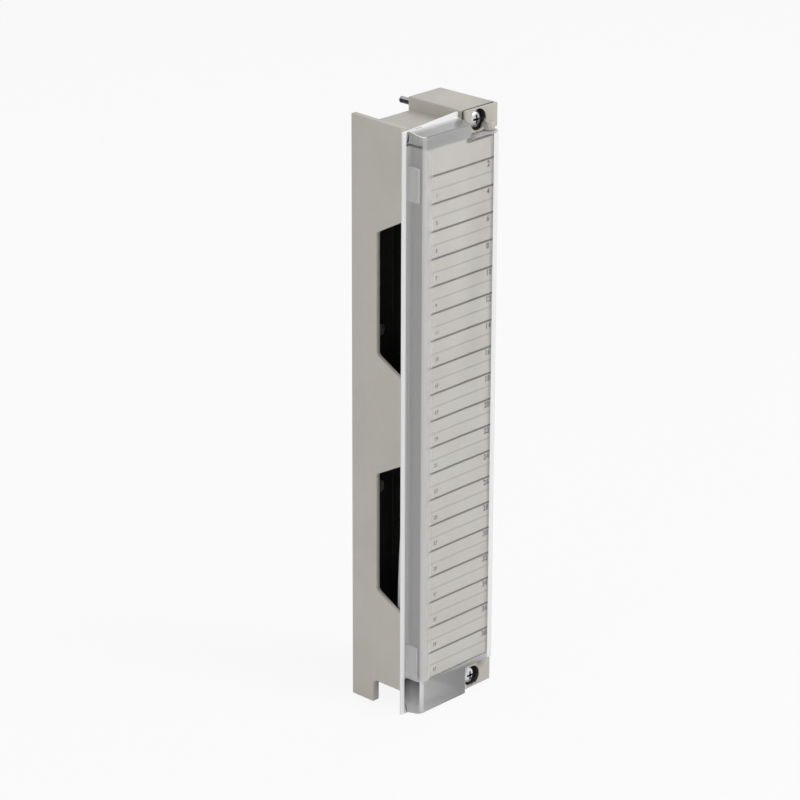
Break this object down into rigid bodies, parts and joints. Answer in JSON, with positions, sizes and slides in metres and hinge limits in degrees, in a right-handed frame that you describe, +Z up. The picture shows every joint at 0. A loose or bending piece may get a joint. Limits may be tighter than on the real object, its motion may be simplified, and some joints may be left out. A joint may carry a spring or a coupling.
{
  "type": "screw terminal block",
  "caption": "Plug-on screw terminal block: slim housing with side windows, two-tier barrier terminals, hinged clear door with folded label card, captive end screws.",
  "frame": {"origin": "on the rear seat plane, midway between the axes of the two mounting screws", "axes": "+Z up along the block, -Y out of the front towards the door, +Y back into the module it plugs onto, +X towards the hinged side"},
  "size_m": [0.04, 0.0363, 0.1974],
  "materials": {
    "housing_plastic": "matt moulded",
    "core_plastic": "matt moulded",
    "carrier_plastic": "matt moulded",
    "contact_metal": "tinned",
    "spring_metal": "satin",
    "clamp_metal": "zinc plated",
    "screw_metal": "zinc plated",
    "retainer_plastic": "natural",
    "door_clear": "clear moulded",
    "card_paper": "matt printed card"
  },
  "bodies": {
    "block": {"housing": "housing_plastic", "end_cap_top": "housing_plastic", "end_cap_bottom": "housing_plastic", "terminal_core": "core_plastic", "socket_carrier": "carrier_plastic", "contact_plates_left": "contact_metal", "contact_plates_right": "contact_metal", "socket_springs_left": "spring_metal", "socket_springs_right": "spring_metal", "wire_clamps_left": "clamp_metal", "wire_clamps_right": "clamp_metal", "terminal_screws_left": "screw_metal", "terminal_screws_right": "screw_metal", "core_fixing_screws": "screw_metal", "screw_retainer_top": "retainer_plastic", "screw_retainer_bottom": "retainer_plastic"},
    "cover": {"door": "door_clear", "label_card": "card_paper"},
    "upper_screw": {"mounting_screw_top": "screw_metal"},
    "lower_screw": {"mounting_screw_bottom": "screw_metal"}
  },
  "joints": [
    {"name": "door_hinge", "type": "hinge", "parent": "block", "child": "cover", "pos_m": [0.00435, -0.0247, 0], "axis": [0, 0, 1], "range_deg": [0, 120]},
    {"name": "upper_screw_turn", "type": "hinge", "parent": "block", "child": "upper_screw", "pos_m": [0, 0, 0.09485], "axis": [0, 1, 0], "continuous": true},
    {"name": "lower_screw_turn", "type": "hinge", "parent": "block", "child": "lower_screw", "pos_m": [0, 0, -0.09485], "axis": [0, 1, 0], "continuous": true}
  ]
}
